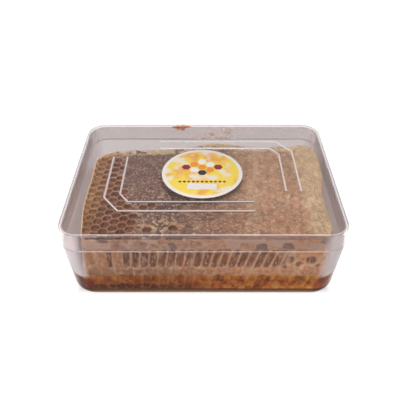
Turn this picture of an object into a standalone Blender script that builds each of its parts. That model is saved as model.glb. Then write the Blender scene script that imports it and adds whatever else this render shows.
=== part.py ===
"""A slab of cut comb honey in a shut clear plastic box with a round label.

The origin is at the middle of the box's underside, +X to the right, +Y to the back and +Z up.
"""

import math

import bmesh
import bpy
from mathutils import Matrix, Vector, noise

MM = 0.001

# Box: an injection-moulded tray and the lid that slips over its neck
WIDTH = 155 * MM
DEPTH = 111 * MM
HEIGHT = 49 * MM
WALL = 0.9 * MM
GAP = 0.3 * MM
SKIRT = 12 * MM
LID_CORNER = 11.5 * MM
LID_EDGE = 1.6 * MM
NECK_HEADROOM = 1.1 * MM
TRAY_DRAFT = 0.0375
TRAY_FOOT_CORNER = 15 * MM
TRAY_FOOT_EDGE = 4.6 * MM
CORNER_STEPS = 6
EDGE_STEPS = 3
SIDE_STEPS = 12

# Raised brackets on the lid, given by how far they lie from their common middle
BRACKETS_Y = -1.9 * MM
RIDGE_HEIGHT = 0.7 * MM
RIDGE_WIDTH = 1.2 * MM
RIDGE_RIGHT_END = 28 * MM
RIDGE_BACK_END = 17.2 * MM
# How far a bracket reaches across and along, and the size of its slanting corner
OUTER_BRACKET = (55.8 * MM, 34.5 * MM, 9 * MM, 11.5 * MM)
INNER_BRACKET = (47.2 * MM, 26.8 * MM, 5 * MM, 7 * MM)

# Round label on the lid
LABEL_RADIUS = 24.1 * MM
LABEL_THICKNESS = 0.2 * MM
LABEL_X = -0.8 * MM
LABEL_Y = -1.1 * MM
LABEL_STEPS = 48

# Comb: two layers of six-sided cells, back to back, cut off by a knife on all four sides
CELL_PITCH = 5.3 * MM
CELL_WALL = 0.55 * MM
CELL_TURN = math.radians(-4)
CELL_WANDER = 0.7 * MM
WANDER_LENGTH = 22 * MM
LATTICE_HALF_WIDTH = 80 * MM
LATTICE_HALF_DEPTH = 60 * MM
OPEN_DEPTH = 2.5 * MM
CAPPING_RISE = 0.5 * MM
CAPPING_SWELL = 0.6
SWELL_LENGTH = 4 * MM
COMB_LEFT = -68.5 * MM
COMB_RIGHT = 73 * MM
COMB_FRONT = -52.8 * MM
COMB_BACK = 32.4 * MM
COMB_BOTTOM = 3 * MM
COMB_TOP = 43.5 * MM
COMB_DRAFT = 0.01
# Corner radii from the back right, anticlockwise
COMB_CORNERS = (8 * MM, 14 * MM, 4 * MM, 8 * MM)
# Both ends lean in near the front: by how much at the top, from which y, over what length,
# and the least share that is left of it below LEAN_Z
LEFT_LEAN = (3.6 * MM, -22 * MM, 36 * MM, -0.25)
RIGHT_LEAN = (3.6 * MM, 6 * MM, 26 * MM, 0)
LEAN_Z = 18 * MM
RIGHT_LEAN_POWER = 3
COMB_FOOT_EDGE = 2 * MM
COMB_BACK_SKEW = 0.1
COMB_BULGE = 6 * MM
COMB_BULGE_X = 9 * MM
COMB_BULGE_REACH = 16 * MM
COMB_WAVE = 0.8 * MM
WAVE_LENGTH = 18 * MM
CUT_ALLOWANCE = 3 * MM
OPEN_EDGE_X = -46 * MM
OPEN_EDGE_Y = -12 * MM
OPEN_EDGE_SLOPE = 0.27
RAGGED_LENGTH = 7 * MM
LONE_OPEN_CELLS = (
    (-36 * MM, -27 * MM),
    (-33 * MM, -46 * MM),
    (-17 * MM, -46 * MM),
    (-28 * MM, -26 * MM),
)
RAGGED_WAX_X = 57 * MM
RAGGED_WAX_RISE = 3

# Cells that the knife laid open along the sides
CUT_CELL_STEP = 4.9 * MM
CUT_CELL_RADIUS = 2.1 * MM
CUT_CELL_BITE = 1.1 * MM
CUT_CELL_UNEVEN = 1.4 * MM
CUT_CELL_LEAN = (0.04, 0.36)
LOWER_ROW = (4.6 * MM, 16.5 * MM)
UPPER_ROW = (21.4 * MM, 37 * MM)
TUBES_FROM_X, TUBES_TO_X = -52 * MM, 46 * MM
SKIPPED_TUBE = -10
# x, z and radius of the round cells at the right end of the front, met end on by the knife
ROUND_CELLS = (
    (47.6 * MM, 28.2 * MM, 2.9 * MM),
    (59.1 * MM, 27.8 * MM, 3.6 * MM),
    (63.2 * MM, 23.4 * MM, 1.7 * MM),
    (52.8 * MM, 24.6 * MM, 2.6 * MM),
    (66.3 * MM, 29.3 * MM, 1.8 * MM),
)
ROUND_CELL_BITE = 1 * MM
ROUND_CELL_SIDES = 10
MOUTH_TO_FRONT = Matrix.Rotation(math.radians(-90), 4, "X")

# Liquid honey that has run out of the comb
HONEY_LEVEL = 15 * MM

SHARP_ANGLE = math.radians(35)

COLOURS = {
    "clear_plastic": ((0.86, 0.84, 0.84, 1), 0.06, 0.9),
    "label_paper": ((0.92, 0.83, 0.45, 1), 0.45, 0.0),
    "comb_wax": ((0.42, 0.24, 0.13, 1), 0.35, 0.0),
    "honey": ((0.40, 0.16, 0.03, 1), 0.08, 0.6),
}


def clear_scene():
    for old in list(bpy.data.objects):
        bpy.data.objects.remove(old)


def material(name):
    colour, roughness, transmission = COLOURS[name]
    made = bpy.data.materials.get(name) or bpy.data.materials.new(name)
    made.use_nodes = True
    shader = made.node_tree.nodes["Principled BSDF"]
    shader.inputs["Base Color"].default_value = colour
    shader.inputs["Roughness"].default_value = roughness
    shader.inputs["Metallic"].default_value = 0
    shader.inputs["Transmission Weight"].default_value = transmission
    return made


def solid(name, bm, material_name, round_faces=False):
    """Turns a closed bmesh into a named object, faces pointing out."""
    bmesh.ops.triangulate(bm, faces=bm.faces)
    bmesh.ops.recalc_face_normals(bm, faces=bm.faces)
    mesh = bpy.data.meshes.new(name)
    bm.to_mesh(mesh)
    bm.free()
    mesh.materials.append(material(material_name))
    if round_faces:
        mesh.shade_smooth()
        mesh.set_sharp_from_angle(angle=SHARP_ANGLE)
    made = bpy.data.objects.new(name, mesh)
    bpy.context.scene.collection.objects.link(made)
    return made


def combine(target, other, operation):
    """Applies an exact Boolean with the other object to the target, and removes the other."""
    step = target.modifiers.new("combine", "BOOLEAN")
    step.operation = operation
    step.object = other
    graph = bpy.context.evaluated_depsgraph_get()
    mesh = bpy.data.meshes.new_from_object(target.evaluated_get(graph))
    target.modifiers.remove(step)
    target.data = mesh
    bpy.data.objects.remove(other)


def rounded_ring(half_x, half_y, radii, z):
    """The points of a rectangle with these corner radii, anticlockwise from the back right corner."""
    points = []
    for quarter, radius in enumerate(radii):
        side_x = 1 if quarter in (0, 3) else -1
        side_y = 1 if quarter in (0, 1) else -1
        for step in range(CORNER_STEPS + 1):
            angle = math.radians(90 * (quarter + step / CORNER_STEPS))
            x = side_x * (half_x - radius) + radius * math.cos(angle)
            y = side_y * (half_y - radius) + radius * math.sin(angle)
            points.append(Vector((x, y, z)))
    return points


def box_ring(half_x, half_y, radius, z):
    return rounded_ring(half_x, half_y, [radius] * 4, z)


def loft(rings):
    """Joins rings of equal length into one closed skin, capped at both ends."""
    bm = bmesh.new()
    loops = [[bm.verts.new(point) for point in ring] for ring in rings]
    for lower, upper in zip(loops, loops[1:]):
        for here in range(len(lower)):
            after = (here + 1) % len(lower)
            bm.faces.new((lower[here], lower[after], upper[after], upper[here]))
    bm.faces.new(loops[0][::-1])
    bm.faces.new(loops[-1])
    return bm


def tray_profile(inset):
    """The wall below the shoulder as (half width, half depth, corner radius, z), from the foot up."""
    shoulder = HEIGHT - SKIRT - GAP
    edge = TRAY_FOOT_EDGE - inset
    wall_foot = TRAY_DRAFT * (shoulder - TRAY_FOOT_EDGE)
    profile = []
    for step in range(EDGE_STEPS + 1):
        angle = math.radians(90 * step / EDGE_STEPS)
        back_off = inset + wall_foot + edge * (1 - math.sin(angle))
        radius = TRAY_FOOT_CORNER - inset - edge * (1 - math.sin(angle))
        z = inset + edge * (1 - math.cos(angle))
        profile.append((WIDTH / 2 - back_off, DEPTH / 2 - back_off, radius, z))
    return profile


def make_tray():
    shoulder = HEIGHT - SKIRT - GAP
    neck_top = HEIGHT - WALL - NECK_HEADROOM
    neck = WALL + GAP
    half_x, half_y = WIDTH / 2, DEPTH / 2
    outside = tray_profile(0)
    outside.append((half_x, half_y, LID_CORNER, shoulder))
    outside.append((half_x - neck, half_y - neck, LID_CORNER - neck, shoulder))
    outside.append((half_x - neck, half_y - neck, LID_CORNER - neck, neck_top))
    inner = neck + WALL
    inside = [
        (half_x - inner, half_y - inner, LID_CORNER - inner, neck_top),
        (half_x - inner, half_y - inner, LID_CORNER - inner, shoulder - WALL),
        (half_x - WALL, half_y - WALL, LID_CORNER - WALL, shoulder - 2 * WALL),
    ]
    inside += reversed(tray_profile(WALL))
    return solid("tray", loft([box_ring(*level) for level in outside + inside]), "clear_plastic", True)


def bracket_path(bracket):
    """A bracket round the lid's front-left corner: its line from the back end to the right end."""
    across, along, chamfer_x, chamfer_y = bracket
    return [
        Vector((-across, RIDGE_BACK_END)),
        Vector((-across, chamfer_y - along)),
        Vector((chamfer_x - across, -along)),
        Vector((RIDGE_RIGHT_END, -along)),
    ]


def ribbon(path, width):
    """The outline of a band of this width along a path, mitred at its bends."""
    left, right = [], []
    for here, point in enumerate(path):
        before = (point - path[here - 1]).normalized() if here else None
        after = (path[here + 1] - point).normalized() if here + 1 < len(path) else None
        first, last = before or after, after or before
        side = (first.orthogonal() + last.orthogonal()).normalized()
        reach = width / 2 / side.dot(first.orthogonal())
        left.append(point + side * reach)
        right.append(point - side * reach)
    return left + right[::-1]


def prism(outline, low, high):
    return loft([[Vector((p.x, p.y, z)) for p in outline] for z in (low, high)])


def make_lid():
    half_x, half_y = WIDTH / 2, DEPTH / 2
    skirt_foot = HEIGHT - SKIRT
    ceiling = HEIGHT - WALL
    levels = [
        (half_x - 2 * WALL, half_y - 2 * WALL, LID_CORNER - 2 * WALL, ceiling),
        (half_x - WALL, half_y - WALL, LID_CORNER - WALL, ceiling - WALL),
        (half_x - WALL, half_y - WALL, LID_CORNER - WALL, skirt_foot),
        (half_x, half_y, LID_CORNER, skirt_foot),
    ]
    for step in range(EDGE_STEPS + 1):
        angle = math.radians(90 * step / EDGE_STEPS)
        inset = LID_EDGE * (1 - math.cos(angle))
        z = HEIGHT - LID_EDGE * (1 - math.sin(angle))
        levels.append((half_x - inset, half_y - inset, LID_CORNER - inset, z))
    lid = solid("lid", loft([box_ring(*level) for level in levels]), "clear_plastic", True)
    middle = Vector((0, BRACKETS_Y))
    for bracket in (OUTER_BRACKET, INNER_BRACKET):
        front_left = ribbon(bracket_path(bracket), RIDGE_WIDTH)
        back_right = [-point for point in front_left]
        for outline in (front_left, back_right):
            placed = [middle + point for point in outline]
            bar = prism(placed, HEIGHT - WALL / 2, HEIGHT + RIDGE_HEIGHT)
            combine(lid, solid("ridge", bar, "clear_plastic"), "UNION")
    return lid


def make_label():
    bm = bmesh.new()
    bmesh.ops.create_cone(
        bm,
        cap_ends=True,
        segments=LABEL_STEPS,
        radius1=LABEL_RADIUS,
        radius2=LABEL_RADIUS,
        depth=LABEL_THICKNESS,
        matrix=Matrix.Translation((LABEL_X, LABEL_Y, HEIGHT + GAP + LABEL_THICKNESS / 2)),
    )
    return solid("label", bm, "label_paper")


def side_steps(ring):
    """Adds points along the straight sides of a rounded ring, so that they can run uneven."""
    dense = []
    for here, point in enumerate(ring):
        after = ring[(here + 1) % len(ring)]
        ends_a_corner = (here + 1) % (CORNER_STEPS + 1) == 0
        steps = SIDE_STEPS if ends_a_corner else 1
        dense += [point.lerp(after, step / steps) for step in range(steps)]
    return dense


def comb_ring(z, margin):
    """The slab's outline at height z, grown by a margin: hand cut, so its sides run a little uneven."""
    draft = COMB_DRAFT * (COMB_TOP - z) + max(COMB_BOTTOM + COMB_FOOT_EDGE - z, 0)
    middle = Vector(((COMB_LEFT + COMB_RIGHT) / 2, (COMB_FRONT + COMB_BACK) / 2, 0))
    half_x = (COMB_RIGHT - COMB_LEFT) / 2 - draft + margin
    half_y = (COMB_BACK - COMB_FRONT) / 2 - draft + margin
    ring = []
    radii = [radius + margin for radius in COMB_CORNERS]
    for point in side_steps(rounded_ring(half_x, half_y, radii, z)):
        flat = Vector((point.x, point.y, 0))
        wave = abs(noise.noise(flat / WAVE_LENGTH)) * COMB_WAVE
        placed = middle + point - flat.normalized() * wave
        placed.y += back_reach(placed.x) * max(placed.y, 0) / COMB_BACK
        placed.x *= side_share(placed.x, placed.y, z)
        ring.append(placed)
    return ring


def back_reach(x):
    """How far the back edge stands off the line y = COMB_BACK: it runs skew and swells near the middle."""
    bulge = COMB_BULGE * math.exp(-(((x - COMB_BULGE_X) / COMB_BULGE_REACH) ** 2))
    return COMB_BACK * COMB_BACK_SKEW * x / COMB_RIGHT + bulge


def lean_in(lean, y, z):
    """How far one end of the slab has moved in at this place."""
    most, from_y, length, least = lean
    nearness = min(max((from_y - y) / length, 0), 1)
    height = max((z - LEAN_Z) / (COMB_TOP - LEAN_Z), least)
    return most * nearness * height


def side_share(x, y, z):
    """The share left of a distance x from the middle, where the slab's ends lean in."""
    if x < 0:
        return 1 + lean_in(LEFT_LEAN, y, z) / COMB_LEFT
    return 1 - lean_in(RIGHT_LEAN, y, z) / COMB_RIGHT * (x / COMB_RIGHT) ** RIGHT_LEAN_POWER


def comb_block(low, high, margin):
    levels = [low, COMB_BOTTOM + COMB_FOOT_EDGE, high]
    return loft([comb_ring(z, margin) for z in levels])


def is_open(middle):
    """Cells stand open along the left side, in a strip that widens to the front, and some beyond."""
    edge = OPEN_EDGE_X - OPEN_EDGE_SLOPE * (middle.y - OPEN_EDGE_Y)
    ragged = noise.noise(Vector((middle.x, middle.y, 0)) / RAGGED_LENGTH) * CELL_PITCH
    alone = any(math.hypot(middle.x - x, middle.y - y) < CELL_PITCH / 2 for x, y in LONE_OPEN_CELLS)
    return alone or middle.x + ragged < edge


def wandered(point):
    """Bees never build a perfect grid: turns it a little and lets it drift."""
    turned = Matrix.Rotation(CELL_TURN, 2) @ point
    return turned + noise.noise_vector(turned.to_3d() / WANDER_LENGTH).xy * CELL_WANDER


def comb_top_cutter():
    """What the knife and the bees left away above the slab: its underside is the comb's relief."""
    bm = bmesh.new()
    radius = CELL_PITCH / math.sqrt(3)
    shared = {}

    def corner(x, y):
        key = (round(x / radius * 4), round(y / radius * 4))
        if key not in shared:
            placed = wandered(Vector((x, y)))
            shared[key] = bm.verts.new((placed.x, placed.y, COMB_TOP))
        return shared[key]

    columns = round(LATTICE_HALF_WIDTH / (1.5 * radius))
    rows = round(LATTICE_HALF_DEPTH / CELL_PITCH)
    for column in range(-columns, columns + 1):
        for row in range(-rows, rows + 1):
            x = column * 1.5 * radius
            y = (row + 0.5 * (column % 2)) * CELL_PITCH
            turns = [math.radians(60 * side) for side in range(6)]
            rim = [corner(x + radius * math.cos(turn), y + radius * math.sin(turn)) for turn in turns]
            middle = sum((vert.co for vert in rim), Vector()) / 6
            if is_open(middle):
                open_cell(bm, rim, middle)
            else:
                capped_cell(bm, rim, middle)
    close_above(bm)
    return solid("comb_top_cutter", bm, "comb_wax")


def open_cell(bm, rim, middle):
    """A wall's upper edge all round and the cell's floor some way down."""
    mouth = []
    floor = []
    for vert in rim:
        inward = (middle - vert.co).normalized() * CELL_WALL / 2 / math.cos(math.radians(30))
        mouth.append(bm.verts.new(vert.co + inward))
        floor.append(bm.verts.new(vert.co + inward * 2 - Vector((0, 0, OPEN_DEPTH))))
    for here in range(6):
        after = (here + 1) % 6
        bm.faces.new((rim[here], rim[after], mouth[after], mouth[here]))
        bm.faces.new((mouth[here], mouth[after], floor[after], floor[here]))
    bm.faces.new(floor)


def capped_cell(bm, rim, middle):
    """A low dome of wax over the honey, each of its own height, and ragged at the slab's right end."""
    swell = CAPPING_SWELL * (1 + noise.noise(middle / SWELL_LENGTH))
    if middle.x > RAGGED_WAX_X:
        swell *= RAGGED_WAX_RISE
    top = bm.verts.new(middle + Vector((0, 0, CAPPING_RISE * swell)))
    for here in range(6):
        bm.faces.new((rim[here], rim[(here + 1) % 6], top))


def close_above(bm):
    """Carries the sheet's outer edge up and closes it, which makes the sheet a solid cutter."""
    edges = [edge for edge in bm.edges if edge.is_boundary]
    raised = bmesh.ops.extrude_edge_only(bm, edges=edges)["geom"]
    for vert in [item for item in raised if isinstance(item, bmesh.types.BMVert)]:
        vert.co.z = COMB_TOP + 3 * CUT_ALLOWANCE
    open_edges = [edge for edge in bm.edges if edge.is_boundary]
    bmesh.ops.holes_fill(bm, edges=open_edges)


def cut_cell(bm, foot, tip, outward):
    """A six-sided spindle that lays one cell open where it bites into the slab's side."""
    axis = (tip - foot).normalized()
    across = axis.cross(outward)
    ends = [foot + axis * CUT_CELL_RADIUS, tip - axis * CUT_CELL_RADIUS]
    loops = []
    for end in ends:
        loop = []
        for side in range(6):
            turn = math.radians(60 * side + 30)
            offset = across * math.cos(turn) + outward * math.sin(turn)
            loop.append(bm.verts.new(end + offset * CUT_CELL_RADIUS))
        loops.append(loop)
    low, high = bm.verts.new(foot), bm.verts.new(tip)
    for here in range(6):
        after = (here + 1) % 6
        bm.faces.new((loops[0][here], loops[0][after], loops[1][after], loops[1][here]))
        bm.faces.new((low, loops[0][after], loops[0][here]))
        bm.faces.new((high, loops[1][here], loops[1][after]))


def side_point(start, end, share, z):
    """A point on the slab's side at height z, between two corners, and how far its draft sets it in."""
    place = start.lerp(end, share)
    if start.y > 0 and end.y > 0:
        place.y = COMB_BACK + back_reach(place.x)
    place.x *= side_share(place.x, place.y, z)
    return Vector((place.x, place.y, z)), COMB_DRAFT * (COMB_TOP - z)


def round_cell(bm, x, z, radius):
    """A short cone, wide end out, that opens a round cell in the slab's front."""
    reach = ROUND_CELL_BITE / 2
    bmesh.ops.create_cone(
        bm,
        cap_ends=True,
        segments=ROUND_CELL_SIDES,
        radius1=radius,
        radius2=radius - reach,
        depth=ROUND_CELL_BITE + reach,
        matrix=Matrix.Translation((x, COMB_FRONT + reach / 2, z)) @ MOUTH_TO_FRONT,
    )


def is_cut(row, number, x, outward):
    """The knife met tubes side on all round, in front only between two places, and one is closed."""
    in_front = outward.y < 0
    if row == LOWER_ROW:
        return in_front
    return not in_front or (TUBES_FROM_X < x < TUBES_TO_X and number != SKIPPED_TUBE)


def side_cell(bm, row, start, end, share, outward):
    """Lays one cell of a row open, at this share of the way from one corner of the slab to the next."""
    low, high = row
    length = (end - start).length
    spot = Vector((share * length, low, start.x)) / CUT_CELL_UNEVEN
    uneven = noise.noise(spot) * CUT_CELL_UNEVEN
    foot, foot_draft = side_point(start, end, share, low + max(uneven, 0))
    tip, tip_draft = side_point(start, end, share, high + min(uneven, 0))
    least, most = CUT_CELL_LEAN
    along = (end - start).normalized().to_3d()
    lean = along * (least + (most - least) * share) * (high - low) / 2
    shift = CUT_CELL_RADIUS * math.cos(math.radians(30)) - CUT_CELL_BITE
    foot += outward * (shift - foot_draft) - lean
    tip += outward * (shift - tip_draft) + lean
    cut_cell(bm, foot, tip, outward)


def cut_cells_cutter():
    """Laid-open cells along each side in the upper layer, and in the lower layer in front."""
    bm = bmesh.new()
    back_right, back_left, front_left, front_right = COMB_CORNERS
    corners = (
        (Vector((COMB_LEFT, COMB_FRONT)), front_left),
        (Vector((COMB_RIGHT, COMB_FRONT)), front_right),
        (Vector((COMB_RIGHT, COMB_BACK + back_reach(COMB_RIGHT))), back_right),
        (Vector((COMB_LEFT, COMB_BACK + back_reach(COMB_LEFT))), back_left),
    )
    outwards = (Vector((0, -1, 0)), Vector((1, 0, 0)), Vector((0, 1, 0)), Vector((-1, 0, 0)))
    for side, outward in enumerate(outwards):
        start, start_radius = corners[side]
        end, end_radius = corners[(side + 1) % len(corners)]
        length = (end - start).length
        kept_clear = max(start_radius, end_radius) + CUT_CELL_RADIUS
        half = int((length / 2 - kept_clear) / CUT_CELL_STEP)
        for number in range(-half, half + 1):
            share = 0.5 + number * CUT_CELL_STEP / length
            for row in (LOWER_ROW, UPPER_ROW):
                if is_cut(row, number, start.lerp(end, share).x, outward):
                    side_cell(bm, row, start, end, share, outward)
    for cell in ROUND_CELLS:
        round_cell(bm, *cell)
    return solid("cut_cells_cutter", bm, "comb_wax")


def make_comb():
    comb = solid("comb", comb_block(COMB_BOTTOM, COMB_TOP + CUT_ALLOWANCE, 0), "comb_wax")
    combine(comb, comb_top_cutter(), "DIFFERENCE")
    combine(comb, cut_cells_cutter(), "DIFFERENCE")
    return comb


def make_honey():
    """The pool round and under the slab, clear of it and of the tray by the gap."""
    profile = [level for level in tray_profile(WALL + GAP) if level[3] < HONEY_LEVEL]
    wall_x, wall_y, radius, wall_z = profile[-1]
    widen = TRAY_DRAFT * (HONEY_LEVEL - wall_z)
    profile.append((wall_x + widen, wall_y + widen, radius, HONEY_LEVEL))
    honey = solid("honey", loft([box_ring(*level) for level in profile]), "honey", True)
    room = solid("comb_room", comb_block(COMB_BOTTOM - GAP, HONEY_LEVEL + CUT_ALLOWANCE, GAP), "honey")
    combine(honey, room, "DIFFERENCE")
    return honey


def main():
    clear_scene()
    make_tray()
    make_lid()
    make_label()
    make_comb()
    make_honey()


main()
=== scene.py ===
"""Looks for a slab of cut comb honey in a shut clear box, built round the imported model.

Lengths are metres. The origin is at the middle of the box's underside: +X right, +Y back, +Z up.
"""

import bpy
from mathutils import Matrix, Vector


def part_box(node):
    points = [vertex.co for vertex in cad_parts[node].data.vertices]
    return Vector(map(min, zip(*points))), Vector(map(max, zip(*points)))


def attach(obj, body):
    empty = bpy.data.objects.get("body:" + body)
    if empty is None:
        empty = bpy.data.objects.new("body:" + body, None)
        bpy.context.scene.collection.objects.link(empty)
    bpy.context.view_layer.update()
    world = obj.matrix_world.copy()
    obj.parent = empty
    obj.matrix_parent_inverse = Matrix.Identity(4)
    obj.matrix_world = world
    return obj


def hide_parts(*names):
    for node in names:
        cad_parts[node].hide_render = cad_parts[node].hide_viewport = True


bl_info = {
    "name": "Boxed Comb Honey",
    "version": (1, 0, 0),
    "blender": (4, 5, 0),
    "location": "View3D > Sidebar > Comb Honey",
    "description": "A clear box with a label, a slab of comb and liquid honey, with their finishes",
    "category": "Add Mesh",
}

import math

import bmesh
import bpy
from bpy.props import FloatProperty, FloatVectorProperty, PointerProperty
from mathutils import Matrix, Vector, noise

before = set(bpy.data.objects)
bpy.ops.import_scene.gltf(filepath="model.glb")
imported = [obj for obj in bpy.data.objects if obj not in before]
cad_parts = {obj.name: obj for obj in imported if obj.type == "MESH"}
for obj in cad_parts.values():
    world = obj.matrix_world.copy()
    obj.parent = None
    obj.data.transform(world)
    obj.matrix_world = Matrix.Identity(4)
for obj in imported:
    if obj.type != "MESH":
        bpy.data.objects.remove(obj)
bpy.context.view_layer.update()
LID_LOW, LID_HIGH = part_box("lid")
LABEL_LOW, LABEL_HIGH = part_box("label")
HONEY_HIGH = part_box("honey")[1]

MM = 0.001

# How finely round things are divided
CORNER_STEPS = 12
BOX_SEGMENTS = 4 * (CORNER_STEPS + 3)
EDGE_STEPS = 5
SUPPORT = 0.6 * MM
SLAB_STEP = 0.6 * MM
SIDE_STEP = 0.9 * MM
TOP_CUTS = 32
SHARP_ANGLE = math.radians(40)

# Box: the tray's neck reaches up inside the lid's skirt
NECK_HEADROOM = 1.1 * MM
TRAY_DRAFT = 0.0375
TRAY_FOOT_CORNER = 15 * MM
TRAY_FOOT_EDGE = 4.6 * MM
MOULD_EDGE = 0.25 * MM

# Raised brackets on the lid: how far they lie from their common middle, and their cut corners
BRACKETS_Y = -1.9 * MM
RIDGE_RIGHT_END = 28 * MM
RIDGE_BACK_END = 17.2 * MM
OUTER_BRACKET = (55.8 * MM, 34.5 * MM, 9 * MM, 11.5 * MM)
INNER_BRACKET = (47.2 * MM, 26.8 * MM, 5 * MM, 7 * MM)

# Comb slab
COMB_LEFT, COMB_RIGHT = -68.5 * MM, 73 * MM
COMB_FRONT, COMB_BACK = -52.8 * MM, 32.4 * MM
COMB_BOTTOM, COMB_TOP = 3 * MM, 43.5 * MM
COMB_MIDRIB = 21.5 * MM
COMB_DRAFT = 0.01
# Corner radii from the back right, anticlockwise
COMB_CORNERS = (8 * MM, 14 * MM, 4 * MM, 8 * MM)
# Both ends lean in near the front: by how much at the top, from which y, over what length,
# and the least share that is left of it below LEAN_Z
LEFT_LEAN = (3.6 * MM, -22 * MM, 36 * MM, -0.25)
RIGHT_LEAN = (3.6 * MM, 6 * MM, 26 * MM, 0)
LEAN_Z = 18 * MM
RIGHT_LEAN_POWER = 3
COMB_FOOT_EDGE = 2 * MM
COMB_BACK_SKEW = 0.1
COMB_BULGE = 6 * MM
COMB_BULGE_X = 9 * MM
COMB_BULGE_REACH = 16 * MM
COMB_WAVE = 0.8 * MM
WAVE_LENGTH = 18 * MM
LIP = 0.7 * MM
SEAT = 37.4 * MM

# Cells of the top
CELL_TURN = math.radians(-4)
CELL_WANDER = 0.7 * MM
WANDER_LENGTH = 22 * MM
RAGGED_LENGTH = 7 * MM
OPEN_EDGE_X = -46 * MM
OPEN_EDGE_Y = -12 * MM
OPEN_EDGE_SLOPE = 0.27
LONE_CELL_REACH = 2.65 * MM
LONE_OPEN_CELLS = ((-36 * MM, -27 * MM), (-33 * MM, -46 * MM), (-17 * MM, -46 * MM), (-28 * MM, -26 * MM))
# Steps into an open cell: width and rise, then how much they count as rim and as hollow.
# The wall goes down by the cell's depth as well. The floor counts as less hollow than the walls,
# so it is painted lighter: painted light against the shade at the bottom of the cell
OPEN_SHOULDER = (0.06 * MM, -0.2 * MM, 0.1, 1.0)
OPEN_WALL = (0.2 * MM, 0.25 * MM, 0.0, 0.9)
OPEN_FLOOR = (0.9 * MM, -0.15 * MM, 0.0, 0.35)
CAPPING_STEPS = (0.35 * MM, 0.7 * MM, 0.8 * MM)
CAPPING_SWELL = 0.32 * MM
RAGGED_WAX_X = 57 * MM
RAGGED_WAX_HEIGHT = 2 * MM
WRINKLE_LENGTH = 3.2 * MM
FINE_WRINKLE_LENGTH = 1.1 * MM
HEAP_LENGTH = 4.5 * MM
# Where pale crumbs of wax lie on the front cappings
CRUMBS = Vector((-25 * MM, -42 * MM))
CRUMBS_REACH = 7 * MM
CRUMB_LENGTH = 2.6 * MM
# Paler wax along the back, and in a band that runs across the cappings
BACK_RIM = 7 * MM
BAND_X = 31 * MM
BAND_SLOPE = 0.12
BAND_WIDTH = 5 * MM

# Cells that the knife laid open along the sides
CUT_CELL_STEP = 4.9 * MM
CUT_CELL_RADIUS = 2.1 * MM
CUT_CELL_LEAN = (0.04, 0.36)
CUT_CELL_SHIFT = 1.4 * MM
# Foot, tip and bite of each row of them, then how hollow the cells look and how pale their edges
CUT_ROWS = (
    (4.6 * MM, 16.5 * MM, 1.1 * MM, 0.15, 0.0),
    (21.4 * MM, 37 * MM, 1.2 * MM, 1.0, 0.4),
    (38.4 * MM, 43 * MM, 0.3 * MM, 0.3, 0.1),
)
CLOSED_TUBE = -10
TUBES_FROM_X, TUBES_TO_X = -52 * MM, 46 * MM
# x, z, radius and depth in mm of the round cells at the right end of the front. A negative depth bulges
ROUND_CELLS = (
    (47.6, 28.2, 2.9, 1.1),
    (59.1, 27.8, 3.6, 1.2),
    (63.2, 23.4, 1.7, 0.8),
    (52.8, 24.6, 2.6, 0.9),
    (46.6, 20.3, 4.2, -0.6),
    (57.4, 19.8, 4.4, -0.6),
    (66.3, 29.3, 1.8, 0.7),
)
ROUND_CELLS_FROM_Z = COMB_MIDRIB - 6 * MM

# How far the honey climbs at the wall, and how far it reaches into the wall and into the comb
HONEY_CLIMB = 0.5 * MM
HONEY_IN_WALL = 0.15 * MM
HONEY_IN_COMB = 1.8 * MM
# x, z, half width and half height in mm of the honey smeared under the lid's back edge
HONEY_SMEARS = (
    (-16.5, 46.6, 4.8, 1.1),
    (-11.5, 46.9, 3.6, 0.8),
    (-19.0, 46.5, 2.2, 0.7),
    (-14.2, 45.4, 1.5, 1.6),
    (-17.6, 45.3, 0.9, 1.3),
)
# The same for the wax rubbed on the back wall
WAX_SMEARS = ((4, 39.6, 9, 2.2), (13, 41.0, 8, 3.0), (15, 44.4, 6, 2.4), (-4, 38.2, 4, 1.4))
# Half of how far they stand off their wall
HONEY_SMEAR_DEPTH = 0.3 * MM
WAX_SMEAR_DEPTH = 0.35 * MM
# x, z and radius in mm of the bubbles on the front wall, each drawn only as a ring of painted highlight
BUBBLE_GLINTS = (
    (-38.4, 42.4, 0.9),
    (-31.1, 44.5, 1.0),
    (-54.5, 47.1, 0.35),
    (-52.5, 47.2, 0.3),
    (-50.5, 47.0, 0.35),
    (-27.5, 47.1, 0.4),
    (-24.6, 47.2, 0.3),
    (-21.5, 47.0, 0.35),
    (-10.2, 44.2, 0.6),
)
# Painted glints: small pale beads on the comb's front, in mm: how many, the first one's x, their step and
# their middle height
SPARKLE_BEADS = (26, -46, 3.7, 25)
BEADS_STRAY = (3, 9)
BEAD_RADIUS = 0.34 * MM

# Print: steps along and across from the middle cell, and the ink of each cell
PRINTED_CELLS = (
    *((0, 0, 3), (1, 0, 2), (-1, 0, 3), (2, 0, 1), (-2, 0, 1)),
    *((0, 1, 2), (1, -1, 3), (-1, -1, 2), (0, -1, 0)),
)
PRINT_PITCH = 5.6 * MM
CELLS_Y = 5.5 * MM
DOT_RADIUS, DOT_STEP, DOTS_Y = 0.9 * MM, 2.6 * MM, -9 * MM
BAR_RADIUS, BAR_SQUASH, BAR_Y = 12 * MM, 0.3, -13.5 * MM
LABEL_EDGE = 0.06 * MM
PRINT_THICKNESS = 0.04 * MM
GLUE = 0.02 * MM

# Where finishes change: each fades along its span. First the box and its label
FILM_TOP = (15.4 * MM, 14.4 * MM)
FILM_ENDS = (61 * MM, 67 * MM)
# Painted shade on the tray: its ends and front corners, and the height below which it fades out
SHADED_ENDS = (70 * MM, 75 * MM)
SHADED_FRONT = (-38 * MM, -48 * MM)
SHADED_CORNERS = (63 * MM, 69 * MM)
CORNER_SHADE = 1.7
SHADE_FOOT = (15 * MM, 17 * MM)
LABEL_RIM = (21.5 * MM, 22.6 * MM)
# Painted shadow on the floor: where its glow is dimmed under the box
BOX_SHADE = (-10 * MM, -3 * MM)
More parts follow.
